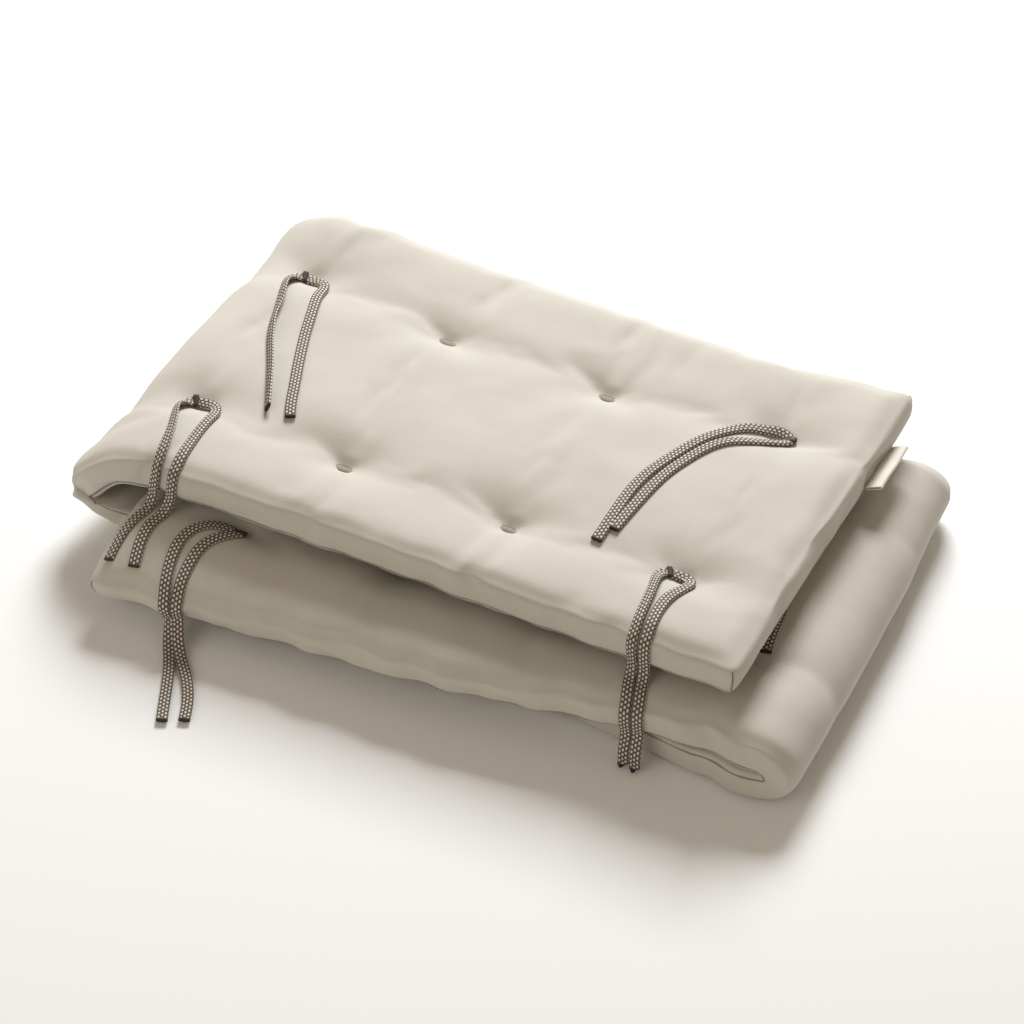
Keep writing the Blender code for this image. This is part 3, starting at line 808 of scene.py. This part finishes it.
def lay_cord(tack, route, turned):
    """Settle a cord on the pad and the surface; returns its points and the way its flat side faces."""
    join, start = np.array(tack), np.array(route[1])
    join = join + (start - join) / np.linalg.norm(start - join) * 0.3
    stops = [stop for stop in route if np.linalg.norm(np.array(stop) - join) > 3.5]
    line = smooth_route([tuple(join), *stops], 0.004)
    share = np.linspace(0.0, 1.0, len(line))
    turn = np.radians(np.interp(share, (0.0, 0.12, 0.75, 1.0), (0.0, turned[0], turned[1], turned[1])))
    stand = np.hypot(CORD_THICK / 2.0 * np.cos(turn), CORD_WIDTH / 2.0 * np.sin(turn)) + 0.0003
    for _ in range(6):
        for k, point in enumerate(line):
            _, normal, gap = nearest_on_pad(point)
            if gap < 0.0085:
                line[k] = point + normal * (stand[k] - gap)
            line[k][2] = max(line[k][2], stand[k])
        line[1:-1] = (line[:-2] + 2.0 * line[1:-1] + line[2:]) / 4.0
    faces = []
    for k, point in enumerate(line):
        _, normal, gap = nearest_on_pad(point)
        if gap < stand[k]:
            line[k] = point + normal * (stand[k] - gap)
        line[k][2] = max(line[k][2], stand[k])
        on_floor = smooth((0.012 - line[k][2]) / 0.008)
        faces.append(normal * (1.0 - on_floor) + np.array([0.0, 0.0, 1.0]) * on_floor)
    faces = np.array(faces)
    for _ in range(4):
        faces[1:-1] = (faces[:-2] + 2.0 * faces[1:-1] + faces[2:]) / 4.0
    return line, faces, turn


def flat_cord(name, tack, route, turned):
    """A flat cord along its route, with the woven dots standing a little proud."""
    coarse, faces, turn = lay_cord(tack, route, turned)
    line = resample(coarse, CORD_STEP)
    count = len(line)
    t = np.linspace(0.0, 1.0, len(coarse))
    marks = np.linspace(0.0, 1.0, count)
    faces = np.stack([np.interp(marks, t, faces[:, axis]) for axis in range(3)], -1)
    turn = np.interp(marks, t, turn)
    ahead = np.gradient(line, axis=0)
    ahead /= np.linalg.norm(ahead, axis=1, keepdims=True)
    up = faces - (faces * ahead).sum(1, keepdims=True) * ahead
    up /= np.linalg.norm(up, axis=1, keepdims=True)
    side = np.cross(ahead, up)
    up, side = (up * np.cos(turn)[:, None] + side * np.sin(turn)[:, None],
                side * np.cos(turn)[:, None] - up * np.sin(turn)[:, None])
    angle = 2.0 * math.pi * np.arange(CORD_AROUND) / CORD_AROUND
    round_out = 0.7
    x = CORD_WIDTH / 2.0 * np.sign(np.cos(angle)) * np.abs(np.cos(angle)) ** round_out
    y = CORD_THICK / 2.0 * np.sign(np.sin(angle)) * np.abs(np.sin(angle)) ** round_out
    outline = np.stack([x, y], -1)
    lengths = np.linalg.norm(np.roll(outline, -1, 0) - outline, axis=1)
    around = np.concatenate([[0.0], np.cumsum(lengths)]) / lengths.sum() * CORD_COLUMNS
    along = np.arange(count) * CORD_STEP / CORD_DOT_PITCH
    column = np.floor(around[:-1] + 0.5)
    off = around[:-1] + 0.5 - column - 0.5
    beat = (along[:, None] + 0.5 * (column % 2)[None, :]) % 1.0 - 0.5
    dot = np.exp(-(off[None, :] / 0.3) ** 2 - (beat / 0.3) ** 2)
    grow = 1.0 + (dot - 0.4) * CORD_RELIEF / (CORD_THICK / 2.0)
    rings = (line[:, None, :] + side[:, None, :] * (x[None, :] * (1.0 + (grow - 1.0) * 0.4))[..., None]
             + up[:, None, :] * (y[None, :] * grow)[..., None])
    verts = rings.reshape(-1, 3).tolist() + [line[0].tolist(), line[-1].tolist()]
    index = np.arange(count * CORD_AROUND).reshape(count, CORD_AROUND)
    nxt = np.roll(index, -1, axis=1)
    quads = np.stack([index[:-1], nxt[:-1], nxt[1:], index[1:]], -1).reshape(-1, 4).tolist()
    start, end = len(verts) - 2, len(verts) - 1
    caps = [(index[0, (i + 1) % CORD_AROUND], index[0, i], start) for i in range(CORD_AROUND)]
    caps += [(index[-1, i], index[-1, (i + 1) % CORD_AROUND], end) for i in range(CORD_AROUND)]
    mesh = bpy.data.meshes.new(name)
    mesh.from_pydata(verts, [], quads + [tuple(int(i) for i in cap) for cap in caps])
    uv = mesh.uv_layers.new(name="cord")
    sealed = round(CORD_SEALED / CORD_STEP)
    for face in mesh.polygons:
        ring, place = divmod(face.index, CORD_AROUND)
        if face.index < len(quads):
            for corner, (du, dv) in zip(face.loop_indices, ((0, 0), (1, 0), (1, 1), (0, 1))):
                uv.data[corner].uv = (around[place + du], along[ring + dv])
        face.material_index = int(ring >= count - 1 - sealed)
    mesh.shade_smooth()
    cord = show(name + "_cord", mesh)
    return cord, line, up[0], ahead[0]


CORD_DARK = (0.098, 0.076, 0.060)
CORD_PALE = (0.72, 0.66, 0.565)


def cord_material():
    """Dark woven cord: pale dots in staggered columns, each one a thread that comes to the top."""
    material, tree, shader = new_material("woven_cord", CORD_DARK, 0.8)
    links = tree.links
    woven = add_node(tree, "ShaderNodeUVMap", uv_map="cord")
    parts = add_node(tree, "ShaderNodeSeparateXYZ")
    links.new(woven.outputs[0], parts.inputs[0])
    place = add_maths(tree, "ADD", parts.outputs[0], 0.5)
    column = add_maths(tree, "FLOOR", place)
    odd = add_maths(tree, "FRACT", add_maths(tree, "MULTIPLY", column, 0.5))
    across = add_maths(tree, "SUBTRACT", add_maths(tree, "FRACT", place), 0.5)
    staggered = add_maths(tree, "FRACT", add_maths(tree, "ADD", parts.outputs[1], odd))
    beat = add_maths(tree, "SUBTRACT", staggered, 0.5)
    across = add_maths(tree, "POWER", add_maths(tree, "MULTIPLY", across, 2.6), 2.0)
    beat = add_maths(tree, "POWER", add_maths(tree, "MULTIPLY", beat, 2.9), 2.0)
    away = add_maths(tree, "ADD", across, beat)
    dot = add_node(tree, "ShaderNodeMapRange", {"From Min": 0.45, "From Max": 1.15, "To Min": 1.0,
                                                "To Max": 0.0})
    links.new(away, dot.inputs["Value"])
    colour = mix_colours(tree, dot.outputs[0], CORD_DARK, CORD_PALE)
    links.new(colour, shader.inputs["Base Color"])
    fibre = add_node(tree, "ShaderNodeTexNoise", {"Scale": 6.0, "Detail": 3.0})
    links.new(woven.outputs[0], fibre.inputs["Vector"])
    add_bump(tree, shader, add_maths(tree, "ADD", dot.outputs[0], fibre.outputs[0]), 0.5, 0.0002)
    return material


woven_cord = cord_material()
sealed_end, sealed_tree, sealed_shader = new_material("sealed_cord_end", (0.026, 0.020, 0.016), 0.6)
grain = add_node(sealed_tree, "ShaderNodeTexNoise", {"Scale": 900.0})
add_bump(sealed_tree, sealed_shader, grain.outputs[0], 0.6, 0.0002)
tie_tops = {}
for tie_name, tie in TIES.items():
    cord, cord_line, cord_up, cord_ahead = flat_cord(tie_name, *tie)
    tie_tops.setdefault(tie.tack, []).append((cord_line[0], cord_up, cord_ahead))
    cord.data.materials.append(woven_cord)
    cord.data.materials.append(sealed_end)
    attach(cord, "root")
    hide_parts(tie_name)

# ---------------------------------------------------------------- the tacks
# Short bars of close zigzag stitches in tan thread, sewn right through the strip to pull it in.  Those
# over a tie cord hold its middle down.
WRAPS = 15
WRAP_THICK = 0.0010
WRAP_RISE = 0.0007
TIE_TACK_LENGTH = 0.0080
TIE_TACK_WIDTH = 0.0030


def tack_wraps(centre, ahead, up, length, width):
    """The stitches of one tack: tubes side by side, each arched across the bar."""
    side = np.cross(up, ahead)
    verts, faces = [], []
    for w in range(WRAPS):
        base = centre + ahead * (w / (WRAPS - 1) - 0.5) * (length - WRAP_THICK)
        first = len(verts)
        for k in range(7):
            arch = math.pi * k / 6.0
            rise = math.sin(arch) ** 0.5 * WRAP_RISE * 1.4 - 0.0006
            spine = base - side * math.cos(arch) * width / 2.0 + up * rise
            out = -side * math.cos(arch) * 0.6 + up * (0.2 + math.sin(arch))
            out /= np.linalg.norm(out)
            for i in range(5):
                a = 2.0 * math.pi * i / 5.0
                verts.append(spine + (ahead * math.cos(a) + out * math.sin(a)) * WRAP_THICK * 0.56)
        for k in range(6):
            for i in range(5):
                a, b = first + 5 * k + i, first + 5 * k + (i + 1) % 5
                faces.append((a, a + 5, b + 5, b))
        faces.append(tuple(first + i for i in range(5)))
        faces.append(tuple(first + 30 + i for i in reversed(range(5))))
    return verts, faces


def tack_painted_shadow(centre, ahead, up, length, width):
    """A painted shadow round a tack: a thin dark plate under its stitches, where they sink into the cloth."""
    side = np.cross(up, ahead)
    verts = []
    for rise in (0.0005, -0.0012):
        for i in range(12):
            a = 2.0 * math.pi * i / 12.0
            x = math.copysign(abs(math.cos(a)) ** 0.4, math.cos(a)) * (length / 2.0 + 0.0007)
            y = math.copysign(abs(math.sin(a)) ** 0.4, math.sin(a)) * (width / 2.0 + 0.0007)
            verts.append(centre + ahead * x + side * y + up * rise)
    faces = [tuple(range(12)), tuple(range(23, 11, -1))]
    return verts, faces + [(i, i + 12, (i + 1) % 12 + 12, (i + 1) % 12) for i in range(12)]


def tack_piece(name, places, colour):
    """All the tacks of one thread, as one piece."""
    verts, faces = [], []
    shadow_faces = []
    for place in places:
        more, loops = tack_painted_shadow(*place)
        shadow_faces += range(len(faces), len(faces) + len(loops))
        faces += [tuple(i + len(verts) for i in loop) for loop in loops]
        verts += more
    for centre, ahead, up, length, width in places:
        more, loops = tack_wraps(centre, ahead, up, length, width)
        faces += [tuple(i + len(verts) for i in loop) for loop in loops]
        verts += more
    mesh = bpy.data.meshes.new(name)
    mesh.from_pydata([tuple(v) for v in verts], [], faces)
    mesh.shade_smooth()
    for shadow_face in shadow_faces:
        mesh.polygons[shadow_face].material_index = 1
        mesh.polygons[shadow_face].use_smooth = False
    material, tree, shader = new_material(name, colour, 0.7)
    twist = add_node(tree, "ShaderNodeTexNoise", {"Scale": 1400.0, "Detail": 2.0})
    uneven = mix_colours(tree, twist.outputs[0], colour, tuple(c * 0.6 for c in colour))
    tree.links.new(uneven, shader.inputs["Base Color"])
    mesh.materials.append(material)
    # painted shadow round each tack: its plate is far darker than the thread
    shadow_material, shadow_tree, shadow_shader = new_material(name + "_edge", tuple(c * 0.35 for c in colour), 0.85)
    fuzz = add_node(shadow_tree, "ShaderNodeTexNoise", {"Scale": 1100.0, "Detail": 2.0})
    add_bump(shadow_tree, shadow_shader, fuzz.outputs[0], 0.4, 0.0002)
    mesh.materials.append(shadow_material)
    piece = show(name, mesh)
    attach(piece, "root")


def tack_place(s, v, side):
    """Where one tack lies on the finished pad: its centre, the way it runs, and its outward direction."""
    guess = on_strip(np.array(s), np.array(v), np.array(side * 0.02))
    away = outward(np.array(s), np.array(v)) * side
    spot, _, _, _ = pad_tree.ray_cast(Vector(guess), Vector(-away), 0.03)
    spot = np.array(spot) if spot else guess
    ahead = middle(np.array(s + 0.005), np.array(v)) - middle(np.array(s - 0.005), np.array(v))
    ahead -= ahead.dot(away) * away
    return spot + away * 0.0005, ahead / np.linalg.norm(ahead), away


plain_tacks = []
for tuft_s, tuft_v in tuft_places():
    for face_side in (1, -1):
        if face_side == -1 or (round(tuft_s * 1000), round(tuft_v * 1000)) not in TIED:
            plain_tacks.append((*tack_place(tuft_s, tuft_v, face_side), TACK_LENGTH, TACK_WIDTH))
tack_piece("bar_tacks", plain_tacks, (0.52, 0.465, 0.38))
tie_tacks = []
for (first_spot, first_up, first_ahead), (second_spot, second_up, second_ahead) in tie_tops.values():
    up = (first_up + second_up) / np.linalg.norm(first_up + second_up)
    across = np.cross(up, first_ahead - second_ahead)
    across /= np.linalg.norm(across)
    centre = (first_spot + second_spot) / 2.0 + up * (CORD_THICK / 2.0 - 0.0001)
    tie_tacks.append((centre, across, up, TIE_TACK_LENGTH, TIE_TACK_WIDTH))
tack_piece("tie_tacks", tie_tacks, (0.100, 0.076, 0.058))

# ---------------------------------------------------------------- the side label
# A strip of woven cream tape, folded in two, with its cut ends caught in the end seam.  Bare.
LABEL_LENGTH = 0.048
lowest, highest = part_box("label")
label_steps = 18
label_mesh = bpy.data.meshes.new("side_label")
label_root = Vector((lowest[0], lowest[1], (lowest[2] * 0.75 + highest[2] * 0.25)))
label_out = Vector((math.cos(math.radians(25.0)), 0.0, math.sin(math.radians(25.0))))
label_up = Vector((-label_out.z, 0.0, label_out.x))
label_reach = 0.0122


def label_outline():
    """The folded tape seen from its side: out along one ply, round the fold and back."""
    outer, inner = 0.0014, 0.0006
    half = [math.pi / 2.0 - math.pi * i / 10.0 for i in range(11)]
    far = label_reach - outer
    top = [(-0.0010, outer * 0.7), (far * 0.3, outer * 0.9), (far * 0.7, outer * 1.05)]
    outline = top + [(far + outer * math.cos(a), outer * math.sin(a)) for a in half]
    outline += [(x, -y) for x, y in reversed(top)]
    outline += [(-0.0010, -inner * 0.5)]
    outline += [(far + inner * math.cos(a), inner * math.sin(a)) for a in reversed(half)]
    outline += [(-0.0010, inner * 0.5)]
    return outline


loop = label_outline()
label_verts, label_faces = [], []
for k in range(label_steps + 1):
    share = k / label_steps
    wave = 0.0005 * math.sin(share * 7.0) * math.sin(math.pi * share)
    for out, rise in loop:
        bow = wave * out / label_reach
        place = label_root + label_out * out + label_up * (rise + bow)
        label_verts.append(place + Vector((0.0, LABEL_LENGTH * share, 0.0)))
size = len(loop)
for k in range(label_steps):
    for i in range(size):
        a, b = k * size + i, k * size + (i + 1) % size
        label_faces.append((a, b, b + size, a + size))
label_faces.append(tuple(reversed(range(size))))
label_faces.append(tuple(label_steps * size + i for i in range(size)))
label_mesh.from_pydata([tuple(v) for v in label_verts], [], label_faces)
label_mesh.shade_smooth()
label_mesh.set_sharp_from_angle(angle=math.radians(50.0))
label = show("side_label", label_mesh)
tape, tape_tree, tape_shader = new_material("woven_tape", (0.80, 0.77, 0.69), 0.8)
tape_place = add_node(tape_tree, "ShaderNodeTexCoord")
tape_ribs = add_node(tape_tree, "ShaderNodeTexWave", {"Scale": 420.0}, bands_direction="Y")
tape_tree.links.new(tape_place.outputs["Object"], tape_ribs.inputs["Vector"])
add_bump(tape_tree, tape_shader, tape_ribs.outputs[1], 0.3, 0.0002)
tape_shade = mix_colours(tape_tree, tape_ribs.outputs[1], (0.82, 0.79, 0.71), (0.74, 0.70, 0.62))
tape_tree.links.new(tape_shade, tape_shader.inputs["Base Color"])
label_mesh.materials.append(tape)
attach(label, "root")
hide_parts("label")

# ---------------------------------------------------------------- the surface, the light and the camera
# A pale studio sheet, one large soft light high behind on the left, and a weak one low at the front.
floor_mesh = bpy.data.meshes.new("studio_sheet")
floor_corners = [(x, y, -0.0002) for x, y in ((-9, -9), (9, -9), (9, 9), (-9, 9))]
floor_mesh.from_pydata(floor_corners, [], [(0, 1, 2, 3)])
floor = show("studio_sheet", floor_mesh)
floor_mesh.materials.append(new_material("studio_sheet", (0.93, 0.935, 0.94), 0.9)[0])

world = bpy.data.worlds.new("studio")
world.use_nodes = True
world.node_tree.nodes["Background"].inputs[0].default_value = (1.0, 0.85, 0.66, 1.0)
world.node_tree.nodes["Background"].inputs[1].default_value = 0.30
bpy.context.scene.world = world


def soft_light(name, place, size, watts, colour):
    """A square light that faces the pad."""
    data = bpy.data.lights.new(name, "AREA")
    data.size = size
    data.energy = watts
    data.color = colour
    lamp = bpy.data.objects.new(name, data)
    lamp.location = place
    lamp.rotation_euler = (Vector((0.0, 0.0, 0.05)) - Vector(place)).to_track_quat("-Z", "Y").to_euler()
    bpy.context.collection.objects.link(lamp)


soft_light("key", (-0.55, 2.0, 1.7), 1.0, 93.0, (0.975, 0.992, 1.02))
soft_light("fill", (-0.7, -2.0, 1.3), 1.6, 10.0, (1.0, 0.95, 0.88))

CAMERA_DISTANCE = 2.791
CAMERA_AZIMUTH = math.radians(24.78)
CAMERA_ELEVATION = math.radians(41.89)
CAMERA_ROLL = math.radians(-1.83)
AIM = Vector((-0.0136, 0.0412, -0.0032))
back = Vector((math.sin(CAMERA_AZIMUTH) * math.cos(CAMERA_ELEVATION),
               -math.cos(CAMERA_AZIMUTH) * math.cos(CAMERA_ELEVATION), math.sin(CAMERA_ELEVATION)))
right = Vector((math.cos(CAMERA_AZIMUTH), math.sin(CAMERA_AZIMUTH), 0.0))
above = back.cross(right)
camera_data = bpy.data.cameras.new("camera")
camera_data.lens = 139.1
camera_data.sensor_width = 36.0
camera = bpy.data.objects.new("camera", camera_data)
turn_right = right * math.cos(CAMERA_ROLL) - above * math.sin(CAMERA_ROLL)
turn_above = right * math.sin(CAMERA_ROLL) + above * math.cos(CAMERA_ROLL)
facing = Matrix((turn_right, turn_above, back)).transposed().to_4x4()
camera.matrix_world = Matrix.Translation(AIM + back * CAMERA_DISTANCE) @ facing
bpy.context.collection.objects.link(camera)
bpy.context.scene.camera = camera
bpy.context.scene.view_settings.view_transform = "Standard"
